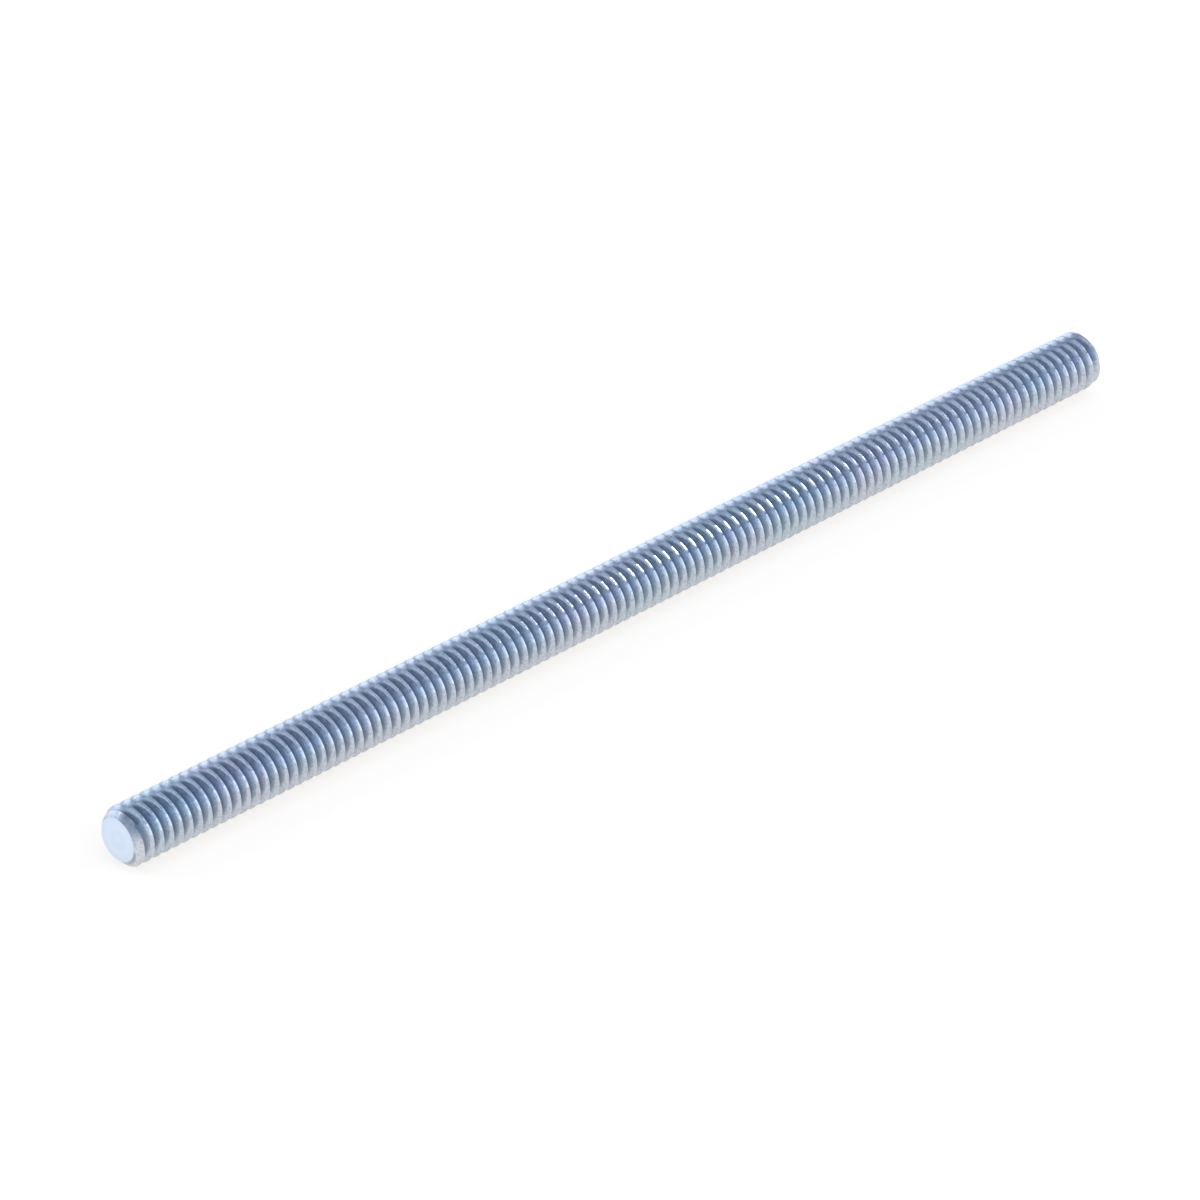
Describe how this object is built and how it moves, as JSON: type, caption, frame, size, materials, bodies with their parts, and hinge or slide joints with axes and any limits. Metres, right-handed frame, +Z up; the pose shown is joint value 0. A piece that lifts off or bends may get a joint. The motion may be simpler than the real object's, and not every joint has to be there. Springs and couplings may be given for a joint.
{
  "type": "threaded rod",
  "caption": "Straight zinc-plated steel rod with a right-hand screw thread along its whole length and chamfered flat ends, for joining or hanging parts with nuts.",
  "frame": {"origin": "on the rod's axis, halfway between its two end faces", "axes": "+X along the rod's axis, +Z up as the rod lies"},
  "size_m": [0.1396, 0.0064, 0.0064],
  "materials": {
    "zinc_plated_steel": "bright blue-white zinc plating, satin"
  },
  "bodies": {
    "root": {"threaded_rod": "zinc_plated_steel"}
  },
  "joints": []
}
